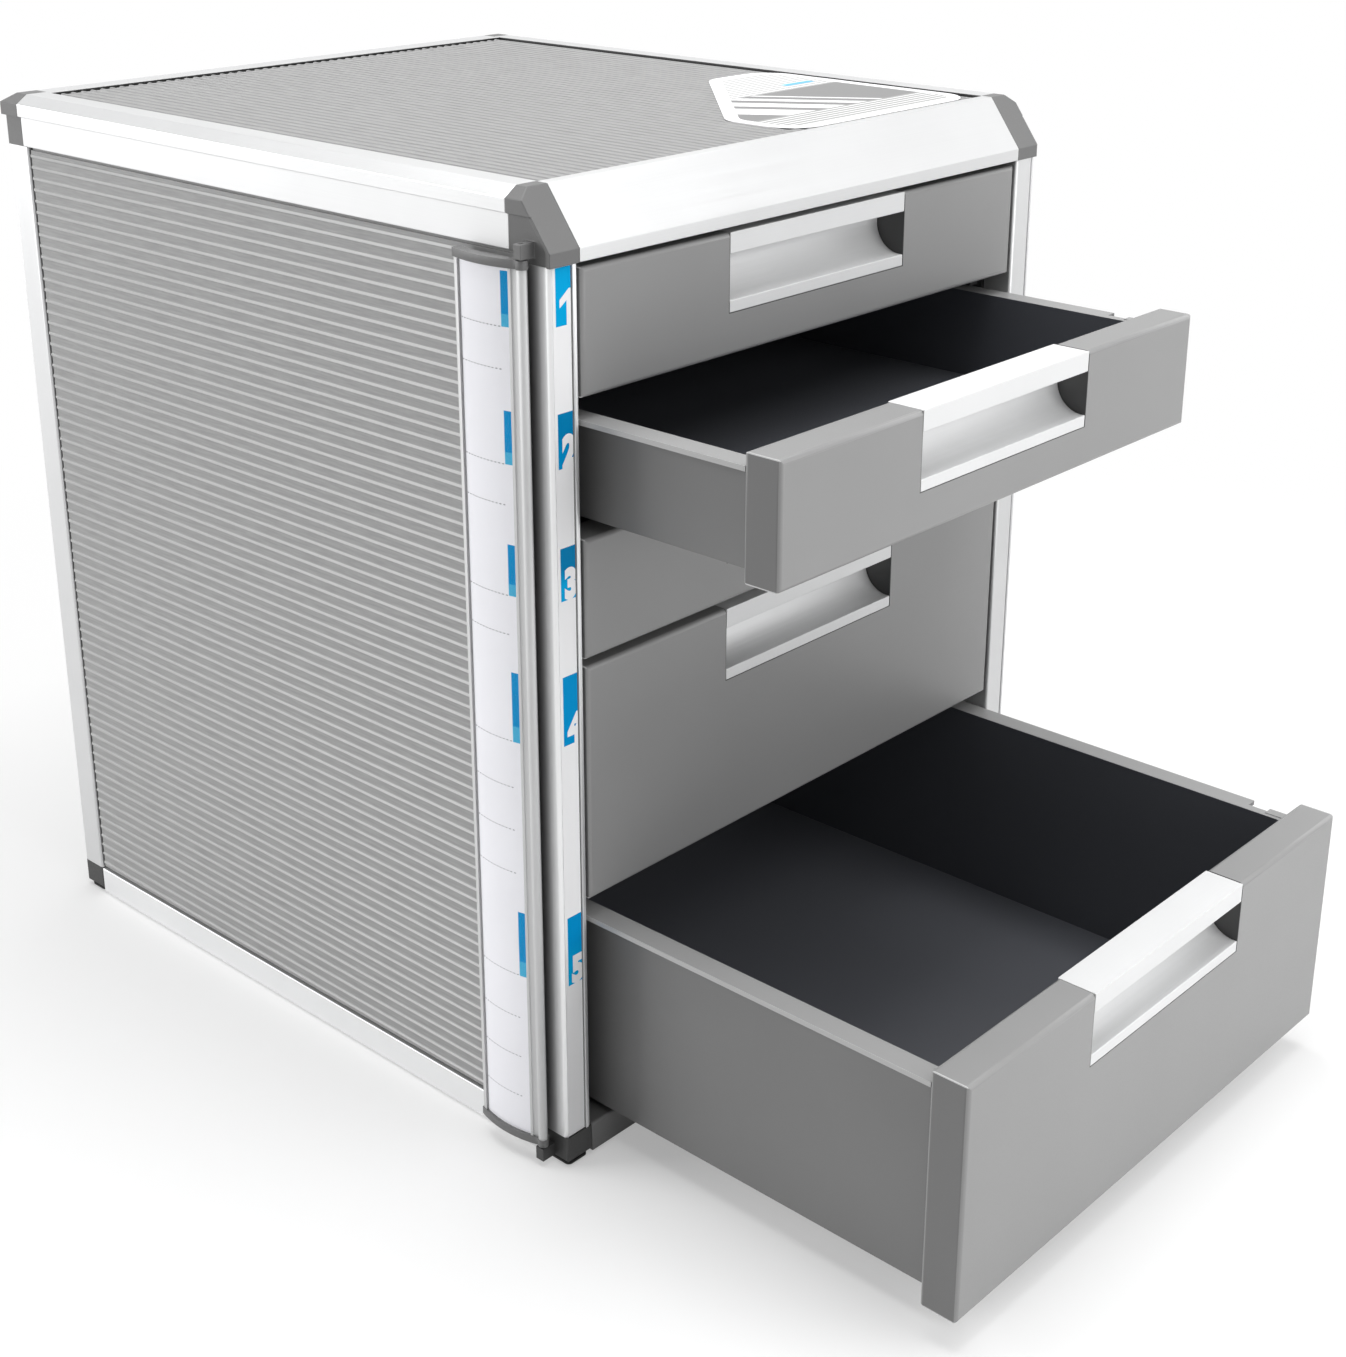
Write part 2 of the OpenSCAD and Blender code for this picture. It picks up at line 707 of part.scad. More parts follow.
module drawer_handle(i) {
    color(aluminium) pulled(i) translate([0, closed_y, front_top(i)])
        along_x(-handle_l / 2, handle_l) handle_outline();
}

// Index panel: rings about the centre of its curve, cut to bands of Y
module index_band(r_in, r_out, y0, y1) {
    intersection() {
        translate(index_centre) difference() {
            circle(r_out, $fn = 256);
            circle(r_in, $fn = 256);
        }
        translate([hinge_x - 2 * knuckle_r - 4, y0]) square([4 * knuckle_r + 4, y1 - y0]);
    }
}

module index_height(z0, z1) translate([0, 0, z0]) linear_extrude(z1 - z0) children();

module index_profile() {
    z0 = index_bottom_z + end_cap_h;
    z1 = index_top_z - end_cap_h;
    color(aluminium) index_height(z0, z1) {
        index_band(sheet_in_r, sheet_out_r, hinge_y, index_free_y);
        index_band(sheet_in_r, lip_r, index_free_y - index_lip_w, index_free_y);
        index_band(sheet_in_r, lip_r, hinge_y + index_flange_w, hinge_y + index_flange_w + index_lip_w / 2);
        index_band(sheet_in_r, index_r, hinge_y, hinge_y + index_flange_w);
        translate([hinge_x, hinge_y]) circle(bead_r);
    }
}

module index_layer(r_in, r_out) {
    margin = 0.15;
    index_height(index_bottom_z + end_cap_h, index_top_z - end_cap_h)
        index_band(r_in, r_out, hinge_y + index_flange_w + index_lip_w / 2 + margin,
            index_free_y - index_lip_w - margin);
}

module index_card() color(card_white) index_layer(sheet_out_r, sheet_out_r + card_t);

module index_film() color([0.9, 0.95, 1, 0.3]) index_layer(index_r - film_t, index_r);

module index_end_cap(z0) {
    index_height(z0, z0 + end_cap_h) {
        index_band(sheet_in_r - end_cap_wrap, end_cap_r, hinge_y, index_free_y + end_cap_wrap);
        translate([hinge_x, hinge_y]) circle(knuckle_r);
    }
}

module index_cap_top() {
    color(grey_plastic) {
        index_end_cap(index_top_z - end_cap_h);
        translate([hinge_x, hinge_y, index_top_z - 0.1]) cylinder(h = pin_l + 0.1, r = pin_r);
    }
}

module index_cap_bottom() {
    color(grey_plastic) {
        index_end_cap(index_bottom_z);
        translate([hinge_x, hinge_y, index_bottom_z - pin_l]) cylinder(h = pin_l + 0.1, r = pin_r);
    }
}

panel_side();  // panel_left
panel_side(right = true);  // panel_right
panel_top();
panel_back();
panel_base();
fascia_front();
top_side_rail();  // rail_top_left
top_side_rail(right = true);  // rail_top_right
rail_top_back();
rail_bottom_side();  // rail_bottom_left
rail_bottom_side(right = true);  // rail_bottom_right
rail_bottom_back();
sill_front();
post_front_left();
post_front_right();
post_back();  // post_back_left
post_back(right = true);  // post_back_right
cap_top_front_left();
cap_top_front(right = true);  // cap_top_front_right
cap_top_back();  // cap_top_back_left
cap_top_back(right = true);  // cap_top_back_right
cap_bottom_front_left();
base_cap_front(right = true);  // cap_bottom_front_right
base_cap_back();  // cap_bottom_back_left
base_cap_back(right = true);  // cap_bottom_back_right
runner_frame();  // runner_left
runner_frame(right = true);  // runner_right
foot_pads();
cap_screws();
label_strip();
top_sticker();
index_profile();
index_card();
index_film();
index_cap_top();
index_cap_bottom();
drawer_front(0);  // drawer_1_front
drawer_front(1);  // drawer_2_front
drawer_front(2);  // drawer_3_front
drawer_front(3);  // drawer_4_front
drawer_front(4);  // drawer_5_front
drawer_tray(0);  // drawer_1_tray
drawer_tray(1);  // drawer_2_tray
drawer_tray(2);  // drawer_3_tray
drawer_tray(3);  // drawer_4_tray
drawer_tray(4);  // drawer_5_tray
drawer_handle(0);  // drawer_1_handle
drawer_handle(1);  // drawer_2_handle
drawer_handle(2);  // drawer_3_handle
drawer_handle(3);  // drawer_4_handle
drawer_handle(4);  // drawer_5_handle
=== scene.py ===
# %% [markdown]
# # A desktop drawer cabinet
# The real thing is a cabinet for A4 papers: grey ribbed sheet panels held in a frame of aluminium
# profiles, moulded corner caps, five plastic drawers, and a narrow index panel that swings on two pins.
# Its solids come from the CAD model, so nothing is measured by eye here. This lesson gives every solid
# its finish, softens its edges, prints the labels, and sets up the light and the camera.

# %% Load the frame
import math

import bmesh
import bpy
from mathutils import Matrix, Vector


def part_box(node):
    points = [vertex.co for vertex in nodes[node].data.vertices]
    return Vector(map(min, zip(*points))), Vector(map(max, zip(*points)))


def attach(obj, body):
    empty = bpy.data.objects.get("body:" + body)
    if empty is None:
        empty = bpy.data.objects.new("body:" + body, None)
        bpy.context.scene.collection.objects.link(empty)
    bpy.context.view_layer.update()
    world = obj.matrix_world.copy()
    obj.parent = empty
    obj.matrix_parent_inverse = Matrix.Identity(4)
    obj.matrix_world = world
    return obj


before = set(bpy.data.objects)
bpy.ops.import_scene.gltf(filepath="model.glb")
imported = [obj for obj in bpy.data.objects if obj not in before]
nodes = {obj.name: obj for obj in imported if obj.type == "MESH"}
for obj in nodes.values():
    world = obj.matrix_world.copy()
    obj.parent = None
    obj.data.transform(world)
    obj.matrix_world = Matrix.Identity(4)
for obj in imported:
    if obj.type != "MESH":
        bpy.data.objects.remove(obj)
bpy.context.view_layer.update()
scene = bpy.context.scene
MM = 0.001

# %% [markdown]
# ## The camera
# The cabinet is seen from its front left corner and from a little above. The middle of the lens lies
# above the middle of the image, as it does on a shift lens. That keeps the upright edges closer to
# upright than a camera that is only tilted down, which makes them lean more.

# %% Camera
IMAGE_W, IMAGE_H = 1346, 1357
FOCAL_PX = 2121.8
CENTRE_RISE_PX = 136
NEAREST = 0.05
CAMERA_PLACE = Vector((-645.8, -594.6, 531.2)) * MM
CAMERA_AZIMUTH, CAMERA_ELEVATION, CAMERA_ROLL = map(math.radians, (-47.547, 20.273, 0.017))


def camera_turn(azimuth, elevation, roll):
    """The camera's axes as a matrix: its right, its up, and the way back from what it looks at."""
    back = Vector((
        math.sin(azimuth) * math.cos(elevation),
        -math.cos(azimuth) * math.cos(elevation),
        math.sin(elevation),
    ))
    right = Vector((math.cos(azimuth), math.sin(azimuth), 0))
    up = back.cross(right)
    level = Matrix((right, up, back)).transposed()
    return level @ Matrix.Rotation(roll, 3, "Z")


camera = bpy.data.objects.new("camera", bpy.data.cameras.new("camera"))
scene.collection.objects.link(camera)
camera.data.lens = camera.data.sensor_width * FOCAL_PX / max(IMAGE_W, IMAGE_H)
camera.data.shift_y = -CENTRE_RISE_PX / max(IMAGE_W, IMAGE_H)
camera.data.clip_start = NEAREST
turn = camera_turn(CAMERA_AZIMUTH, CAMERA_ELEVATION, CAMERA_ROLL)
camera.matrix_world = Matrix.Translation(CAMERA_PLACE) @ turn.to_4x4()
scene.camera = camera
print(f"lens {camera.data.lens:.1f} mm, shift {camera.data.shift_y:.3f}")

# %% [markdown]
# ## A way to write materials
# Every finish below is a small net of nodes. Wiring them by hand takes many lines, so three helpers do
# it: one adds a node with its settings and inputs, one joins two numbers with a sum, and one mixes two
# colours. An input is either a plain value or a socket of an earlier node.

# %% Node helpers
def add(tree, kind, inputs=None, **settings):
    """Adds a node. inputs maps a socket's name or number to a value or to an earlier node's socket."""
    node = tree.nodes.new("ShaderNode" + kind)
    for name, value in settings.items():
        setattr(node, name, value)
    for key, value in (inputs or {}).items():
        if isinstance(value, bpy.types.NodeSocket):
            tree.links.new(value, node.inputs[key])
        else:
            node.inputs[key].default_value = value
    return node


def sums(tree, operation, a, b=0.0, c=0.0, clamp=False):
    """One Math node on up to three numbers or sockets."""
    return add(tree, "Math", {0: a, 1: b, 2: c}, operation=operation, use_clamp=clamp).outputs[0]


MIX_A, MIX_B, MIX_COLOUR = 6, 7, 2


def mixed(tree, factor, a, b):
    """The colour a where the factor is 0, and b where it is 1."""
    node = add(tree, "Mix", {0: factor, MIX_A: a, MIX_B: b}, data_type="RGBA")
    return node.outputs[MIX_COLOUR]


def grey(level):
    """A neutral colour in linear light."""
    return (level, level, level, 1)


def finish(name, colour, roughness, metallic=0.0, gloss=0.5):
    """A new material with its plain values on the shader's own sockets."""
    material = bpy.data.materials.new(name)
    material.use_nodes = True
    material.diffuse_color = colour
    shader = material.node_tree.nodes["Principled BSDF"]
    shader.inputs["Base Color"].default_value = colour
    shader.inputs["Roughness"].default_value = roughness
    shader.inputs["Metallic"].default_value = metallic
    shader.inputs["Specular IOR Level"].default_value = gloss
    return material, material.node_tree, shader


def wire(tree, socket, shader, name):
    tree.links.new(socket, shader.inputs[name])


print("helpers ready")

# %% [markdown]
# ## Where a pattern sits
# A pattern that reads Object coordinates stays where it is on the piece when the piece moves. One
# metre is one unit there, so a noise of scale 1000 has grains of about a millimetre. Stretching the
# coordinates along one axis turns round grains into the long, fine lines of an extruded profile. A
# noise stays mostly between 0.3 and 0.7, so it is spread from there.

# %% Pattern helpers
NOISE_LOW, NOISE_HIGH = 0.3, 0.7


def object_place(tree):
    return add(tree, "TexCoord").outputs["Object"]


def grain(tree, size, detail=2.0, stretch=(1, 1, 1)):
    """Noise whose grains are about that many millimetres across, longer along an axis by its stretch."""
    place = add(tree, "Mapping", {"Vector": object_place(tree), "Scale": [1 / s for s in stretch]})
    inputs = {"Vector": place.outputs[0], "Scale": 1 / (size * MM), "Detail": detail}
    return add(tree, "TexNoise", inputs).outputs["Fac"]


def spread(tree, value, low, high):
    """Maps a noise to the range from low to high."""
    inputs = {"Value": value, "From Min": NOISE_LOW, "From Max": NOISE_HIGH, "To Min": low, "To Max": high}
    return add(tree, "MapRange", inputs, clamp=True).outputs[0]


def shaded(tree, colour, value, swing):
    """The colour, made darker and lighter by a share up to swing where the noise says so."""
    level = spread(tree, value, 1 - swing, 1 + swing)
    scaled = add(tree, "VectorMath", {0: colour[:3], "Scale": level}, operation="SCALE")
    return scaled.outputs[0]


def bumpy(tree, shader, height, distance, strength):
    """Bump from a height, with its distance in millimetres."""
    inputs = {"Height": height, "Distance": distance * MM, "Strength": strength}
    wire(tree, add(tree, "Bump", inputs).outputs[0], shader, "Normal")


print("pattern helpers ready")

# %% [markdown]
# ## Anodised aluminium
# The posts, rails and fascia are extruded profiles with a satin, clear anodised skin. The die leaves
# faint lines along the profile's length, and the anodised skin is cloudy over some centimetres. One
# metal shader per direction does both: fine lines stretched lengthwise for roughness and bump, and a
# slow noise for the tone. The skin is a clear layer over etched metal, so part of the light is scattered
# in it as in paint, and the shader is mostly but not wholly metallic. The tubes at the foot get the
# palest level, and the left front post gets it too, as painted light against the index panel's shadow.
# The handles and the index panel's profile have a duller skin, and are less metallic.

# %% Aluminium
DIE_LINE, CLOUD = 0.35, 40
LENGTHWISE = {"X": (400, 1, 1), "Y": (1, 400, 1), "Z": (1, 1, 400)}
COOL = (0.995, 1, 1.005)


def aluminium(name, axis, level, roughness, metallic):
    """A metal skin with lines along that axis. Its tone socket is given too, for a second colour."""
    colour = (*(level * share for share in COOL), 1)
    material, tree, shader = finish(name, colour, roughness, metallic=metallic, gloss=0.3)
    lines = grain(tree, DIE_LINE, detail=3, stretch=LENGTHWISE[axis])
    tone = shaded(tree, colour, grain(tree, CLOUD), 0.015)
    wire(tree, tone, shader, "Base Color")
    wire(tree, spread(tree, lines, roughness - 0.05, roughness + 0.05), shader, "Roughness")
    bumpy(tree, shader, lines, 0.02, 0.25)
    return material, tree, shader, tone


# The tube level also lifts the left front post: painted light against the index panel's shadow.
PROFILE_LEVEL, RAIL_LEVEL, TUBE_LEVEL, HANDLE_LEVEL, BEAD_LEVEL = 0.63, 0.62, 0.84, 0.70, 0.60
SATIN, MATT = (0.46, 0.8), (0.60, 0.4)
post_finish = aluminium("anodised_profile_Z", "Z", PROFILE_LEVEL, *SATIN)[0]
tube_finish = {axis: aluminium(f"anodised_tube_{axis}", axis, TUBE_LEVEL, *SATIN)[0] for axis in "XY"}
handle_finish = aluminium("anodised_handle", "X", HANDLE_LEVEL, *MATT)[0]
print("aluminium:", sorted(m.name for m in (post_finish, handle_finish, *tube_finish.values())))

# %% [markdown]
# Some sides of the profiles lie in shade, and that shade is painted into their colour as a dark grey.
# These are the walls of the top rails and of the fascia round the sunken panel, the strip of the left
# front post beside the index panel, and the inner side of that panel's bead. The painted shade is a
# second colour, mixed in by how far a point lies from the cabinet's middle: none at one distance and
# all of it at the other.

# %% Profiles with painted shade
def painted_shade_profile(name, along, across, no_shade_at, full_shade_at, shade_grey, level, skin=SATIN):
    """A profile's finish with painted shade, by the distance from the middle in millimetres along one
    axis.
    """
    material, tree, shader, tone = aluminium(f"anodised_painted_shade_{name}", along, level, *skin)
    place = add(tree, "SeparateXYZ", {0: object_place(tree)})
    distance = sums(tree, "ABSOLUTE", place.outputs["XYZ".index(across)])
    inputs = {"Value": distance, "From Min": no_shade_at * MM, "From Max": full_shade_at * MM}
    share = add(tree, "MapRange", inputs).outputs[0]
    wire(tree, mixed(tree, share, tone, grey(shade_grey)), shader, "Base Color")
    return material


# Painted shade: a dark second colour on the sides of these profiles that lie in shade.
painted_shade_finish = {
    "rail_top_left": painted_shade_profile("side_rail", "Y", "X", 134.95, 134.80, 0.05, RAIL_LEVEL),
    "rail_top_back": painted_shade_profile("back_rail", "X", "Y", 243.45, 243.30, 0.05, RAIL_LEVEL),
    "fascia_front": painted_shade_profile("fascia", "X", "Y", 63.25, 63.10, 0.05, PROFILE_LEVEL),
    # Painted shade on the post's strip beside the index panel and on the bead's inner side.
    "post_front_left": painted_shade_profile("post", "Z", "Y", 77.5, 71.5, 0.24, TUBE_LEVEL),
    "index_profile": painted_shade_profile("bead", "Z", "X", 152.8, 151.8, 0.12, BEAD_LEVEL, MATT),
}
painted_shade_finish["rail_top_right"] = painted_shade_finish["rail_top_left"]
print("painted shade profiles:", sorted(painted_shade_finish))

# %% [markdown]
# ## Ribbed panels
# The side and top panels are sheets with a grey coat and a rib every five millimetres. The crests are
# painted paler than the troughs, most of all near the front: a painted highlight along each crest. The
# coat was rolled on along the ribs, and that left short streaks in it. Round its edge the sheet dips
# behind the frame, and the dip is painted near black as its shadow. Only the side panels' top edge has
# no painted dark dip, because it is tucked in right under the rail. The ribs themselves are real
# geometry. The colour only follows how far a point stands out, and how near it is to the front and to
# the edge.

# %% Panel finish
def far_from(tree, value, centre, half):
    """1 where a coordinate is further than half from the centre, else 0."""
    offset = sums(tree, "ABSOLUTE", sums(tree, "SUBTRACT", value, centre))
    return sums(tree, "GREATER_THAN", offset, half)


def border_mask(tree, xyz, low, high, margin, axes):
    """1 in the margin along a box's edges, seen along the axis that is left out of axes."""
    masks = []
    for axis in axes:
        centre = (low[axis] + high[axis]) / 2
        half = (high[axis] - low[axis]) / 2 - margin
        masks.append(far_from(tree, xyz.outputs[axis], centre, half))
    return sums(tree, "MAXIMUM", *masks)


EDGE_DIP = 1.4 * MM
RIB = 0.5 * MM
TROUGH_END, CREST_START = 0.6 * RIB, 0.05 * RIB
STREAK, STREAK_STRETCH, STREAK_SWING = 0.9, (1, 15, 1), 0.09
# Painted shadow in the dip round the sheet's edge.
DIP_SHADOW_GREY = 0.012


def panel_finish(node, out_axis, level, back_crest_highlight, front_crest_highlight, gloss):
    """A ribbed panel's coat. The ribs stand out along out_axis, and the crests' painted highlight runs
    along Y.
    """
    low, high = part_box(node)
    tucked_in = Vector((0, 0, 2 * EDGE_DIP if out_axis == 0 else 0))
    colour = grey(level)
    material, tree, shader = finish(f"coat_{node}", colour, 0.5, gloss=gloss)
    xyz = add(tree, "SeparateXYZ", {0: object_place(tree)})
    axes = [axis for axis in range(3) if axis != out_axis]
    outer = max(abs(low[out_axis]), abs(high[out_axis]))
    height = sums(tree, "ABSOLUTE", xyz.outputs[out_axis])
    crest_inputs = {"Value": height, "From Min": outer - TROUGH_END, "From Max": outer - CREST_START}
    crest = add(tree, "MapRange", crest_inputs).outputs[0]
    coat = shaded(tree, colour, grain(tree, STREAK, stretch=STREAK_STRETCH), STREAK_SWING)
    # Painted highlight: the crests are painted paler, more so towards the front.
    nearness = add(tree, "MapRange", {"Value": xyz.outputs[1], "From Min": high.y, "From Max": low.y})
    crest_highlight = mixed(tree, nearness.outputs[0], grey(back_crest_highlight), grey(front_crest_highlight))
    ribbed = mixed(tree, crest, coat, crest_highlight)
    # Painted shadow: the dip round the sheet's edge is painted near black.
    dip_shadow = border_mask(tree, xyz, low, high + tucked_in, EDGE_DIP, axes)
    wire(tree, mixed(tree, dip_shadow, ribbed, grey(DIP_SHADOW_GREY)), shader, "Base Color")
    fine = grain(tree, 0.3)
    wire(tree, spread(tree, fine, 0.40, 0.50), shader, "Roughness")
    bumpy(tree, shader, fine, 0.01, 0.3)
    return material


# The crest greys are painted highlights on the ribs.
SIDE_GREY, SIDE_CREST_HIGHLIGHTS = 0.33, (0.45, 0.66)
TOP_GREY, TOP_CREST_HIGHLIGHTS = 0.315, (0.34, 0.34)
SIDES = ("panel_left", "panel_right")
side_coat = {node: panel_finish(node, 0, SIDE_GREY, *SIDE_CREST_HIGHLIGHTS, gloss=0.4) for node in SIDES}
top_coat = panel_finish("panel_top", 2, TOP_GREY, *TOP_CREST_HIGHLIGHTS, gloss=0.08)

plain_coat, tree, shader = finish("coat_plain", grey(SIDE_GREY), 0.5, gloss=0.4)
wire(tree, shaded(tree, grey(SIDE_GREY), grain(tree, 25, detail=3), 0.03), shader, "Base Color")
bumpy(tree, shader, grain(tree, 0.3), 0.01, 0.3)
print("coats:", len(side_coat) + 2)

# %% [markdown]
# ## Moulded plastic
# The caps, fronts and trays are injection moulded. A mould has a spark-eroded skin, so the plastic gets
# an even grain of a few tenths of a millimetre, which breaks its reflections into a satin sheen. The
# caps are coarser and darker than the drawer fronts. A slow noise keeps large faces from looking
# printed. The same function serves the caps, the sill, the runners and the foot pads, and the fronts
# and trays get functions of their own, because their colour changes over one moulding.

# %% Plastics
SLOW = 60


def moulded(name, level, roughness, grain_size, grain_depth):
    """An even grey plastic with a grained skin, its grain in millimetres."""
    colour = grey(level)
    material, tree, shader = finish(name, colour, roughness)
    skin = grain(tree, grain_size, detail=3)
    wire(tree, shaded(tree, colour, grain(tree, SLOW), 0.03), shader, "Base Color")
    wire(tree, spread(tree, skin, roughness - 0.06, roughness + 0.06), shader, "Roughness")
    bumpy(tree, shader, skin, grain_depth, 0.35)
    return material


cap_finish = moulded("moulded_cap", 0.14, 0.50, 0.6, 0.03)
base_cap_finish = moulded("moulded_base_cap", 0.037, 0.50, 0.6, 0.03)
sill_finish = moulded("moulded_sill", 0.17, 0.50, 0.6, 0.03)
runner_finish = moulded("moulded_runner", 0.05, 0.55, 0.6, 0.02)
pad_finish = moulded("rubber_pad", 0.02, 0.8, 0.5, 0.05)
print("plastics ready")

# %% [markdown]
# ## Drawer fronts
# A front is one smooth moulding with a deep notch for the handle. The notch's walls lie in the handle's
# shadow, and that shade is painted into them as a dark grey, with a thin dark line round the notch. The
# two short ends are painted darker too, as shade. Every outer edge is painted a little paler, as a
# highlight. All of that depends only on where a point lies in the front's own box, so masks on Object
# coordinates place it.

# %% Front finish
# The notch and end greys are painted shade, and the edge grey is a painted highlight.
FRONT_GREY, END_SHADE_GREY, NOTCH_SHADE_GREY, EDGE_HIGHLIGHT_GREY = 0.265, 0.145, 0.05, 0.55
NOTCH_EDGE = 0.45 * MM
EDGE_HIGHLIGHT_W = 0.45 * MM
END_SKIN = 0.1 * MM
TWO_FACES = 1.5


def edge_highlight_mask(tree, xyz, low, high, width):
    """1 along the twelve edges of a box: where a point is near two of its faces at once."""
    near = []
    for axis in range(3):
        centre = (low[axis] + high[axis]) / 2
        half = (high[axis] - low[axis]) / 2 - width
        near.append(far_from(tree, xyz.outputs[axis], centre, half))
    count = sums(tree, "ADD", sums(tree, "ADD", near[0], near[1]), near[2])
    return sums(tree, "GREATER_THAN", count, TWO_FACES)


def front_finish(node):
    """A front's face, painted shade on its ends and notch, and painted highlights on its edges, from its
    own box and its handle's box.
    """
    low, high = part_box(node)
    handle_low, handle_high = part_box(node.replace("_front", "_handle"))
    colour = grey(FRONT_GREY)
    material, tree, shader = finish(f"moulded_{node}", colour, 0.40)
    xyz = add(tree, "SeparateXYZ", {0: object_place(tree)})
    x, z = xyz.outputs[0], xyz.outputs[2]
    aside = far_from(tree, x, 0, handle_high.x + NOTCH_EDGE)
    below = sums(tree, "LESS_THAN", z, handle_low.z - NOTCH_EDGE / 2)
    outside_notch = sums(tree, "MAXIMUM", aside, below)
    face = shaded(tree, colour, grain(tree, SLOW), 0.02)
    # Painted shade: the two short ends are painted darker.
    end_shade = far_from(tree, x, 0, high.x - END_SKIN)
    face = mixed(tree, end_shade, face, grey(END_SHADE_GREY))
    # Painted highlight: every outer edge is painted paler.
    face = mixed(tree, edge_highlight_mask(tree, xyz, low, high, EDGE_HIGHLIGHT_W), face, grey(EDGE_HIGHLIGHT_GREY))
    # Painted shade: the notch's walls and a thin line round it are painted dark.
    wire(tree, mixed(tree, outside_notch, grey(NOTCH_SHADE_GREY), face), shader, "Base Color")
    skin = grain(tree, 0.35, detail=3)
    wire(tree, spread(tree, skin, 0.34, 0.46), shader, "Roughness")
    bumpy(tree, shader, skin, 0.008, 0.3)
    return material


front_finishes = {n: front_finish(n) for n in nodes if n.startswith("drawer_") and n.endswith("_front")}
print("fronts:", len(front_finishes))

# %% [markdown]
# ## Trays
# A tray is grey outside, and its inside is painted dark as shade, so the finish changes at the inner
# face of the wall. Its rim is painted paler, as light falling on its top, and its outer edge paler
# still, as a painted highlight. Boxes on Object coordinates say what is inside and what is rim. They
# move with the drawer, because the coordinates do.

# %% Tray finish
TRAY_WALL = 2 * MM
FLANGE_W = 7.5 * MM
RIM_DEPTH = 0.5 * MM
RIM_EDGE = 0.15 * MM
INTO_WALL = 0.05 * MM
OUTSIDE_GREY, RIM_LIGHT_GREY, RIM_EDGE_HIGHLIGHT_GREY = 0.17, 0.31, 0.43
INSIDE_SHADE_BLUE_GREY = (0.110, 0.115, 0.130, 1)


def tray_finish(node):
    """A tray's grey outside, its inside painted dark as shade and its rim painted pale as light, from its
    own box.
    """
    low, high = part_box(node)
    cavity_low = Vector((low.x + FLANGE_W + TRAY_WALL, low.y + TRAY_WALL, low.z))
    cavity_high = Vector((high.x - FLANGE_W - TRAY_WALL, high.y - TRAY_WALL, high.z))
    outside = grey(OUTSIDE_GREY)
    material, tree, shader = finish(f"moulded_{node}", outside, 0.42)
    xyz = add(tree, "SeparateXYZ", {0: object_place(tree)})
    x, z = xyz.outputs[0], xyz.outputs[2]
    beyond_wall = border_mask(tree, xyz, cavity_low, cavity_high, -INTO_WALL, (0, 1))
    under_floor = sums(tree, "LESS_THAN", z, low.z + TRAY_WALL / 2)
    outer = sums(tree, "MAXIMUM", beyond_wall, under_floor)
    rim_light = sums(tree, "GREATER_THAN", z, high.z - RIM_DEPTH)
    rim_edge_highlight = far_from(tree, x, 0, high.x - RIM_EDGE)
    skin_tone = shaded(tree, outside, grain(tree, SLOW), 0.03)
    # Painted light: the rim's top is painted paler.
    skin_tone = mixed(tree, rim_light, skin_tone, grey(RIM_LIGHT_GREY))
    # Painted highlight: the rim's outer edge is painted palest.
    skin_tone = mixed(tree, rim_edge_highlight, skin_tone, grey(RIM_EDGE_HIGHLIGHT_GREY))
    # Painted shade: everything inside the wall is painted dark.
    wire(tree, mixed(tree, outer, INSIDE_SHADE_BLUE_GREY, skin_tone), shader, "Base Color")
    skin = grain(tree, 0.4, detail=3)
    wire(tree, spread(tree, skin, 0.36, 0.48), shader, "Roughness")
    bumpy(tree, shader, skin, 0.01, 0.3)
    return material


tray_finishes = {n: tray_finish(n) for n in nodes if n.endswith("_tray")}
print("trays:", sorted(tray_finishes))

# %% [markdown]
# ## Paper, film and screws
# The index card and the number strip are printed sheets, so their colours change at exact places. Those
# places come from the drawers: a field starts at the top of its drawer's front, and only the strip's
# first one starts at the strip's own top. A stack of masks, one for each printed field, builds the
# picture, with the paper's white under all of them.

# %% Printed fields
CARD_WHITE = (0.90, 0.90, 0.94, 1)
PALE_WHITE = (0.90, 0.90, 0.91, 1)
STRONG_BLUE = (0.0, 0.21, 0.46, 1)
CLEAR_BLUE = (0.0, 0.28, 0.62, 1)
LIGHT_BLUE = (0.0, 0.38, 0.74, 1)
SOFT_BLUE = (0.07, 0.45, 0.71, 1)
DOT_GREY = (0.30, 0.30, 0.33, 1)

drawer_names = sorted(n for n in nodes if n.endswith("_front") and n.startswith("drawer_"))
field_tops = [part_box(n)[1].z for n in drawer_names]
field_heights = [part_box(n)[1].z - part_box(n)[0].z for n in drawer_names]
SHALLOW_FRONT = min(field_heights)


def between(tree, value, low, high):
    """1 where a coordinate lies between two values, else 0."""
    offset = sums(tree, "ABSOLUTE", sums(tree, "SUBTRACT", value, (low + high) / 2))
    return sums(tree, "LESS_THAN", offset, (high - low) / 2)


def rectangle(tree, across, z, span, heights):
    """1 inside a printed rectangle."""
    return sums(tree, "MULTIPLY", between(tree, across, *span), between(tree, z, *heights))


print("fields start at", [round(z, 4) for z in field_tops])

# %% [markdown]
# The card has a blue tab for each drawer near its front edge, paler in its lower part, with dotted
# lines to write on behind it. A dark hairline down its rear edge is a painted shadow of the gap at the
# lip. The dots come from the fractional part of a point's place along the line.

# %% Index card
TAB_IN, TAB_W = 0.6 * MM, 3.1 * MM
TAB_SHALLOW, TAB_DEEP = 20 * MM, 28.5 * MM
TAB_SPLIT = 0.77
EDGE_STRIP = 0.2 * MM
EDGE_SHADOW_W, EDGE_SHADOW_GREY = 0.25 * MM, 0.05
LINE_HALF = 0.2 * MM
DOT_PITCH = 1.8 * MM
SHALLOW_LINES = (20, 35.5)
DEEP_LINES = (28.3, 47.7, 65.8, 84.3)


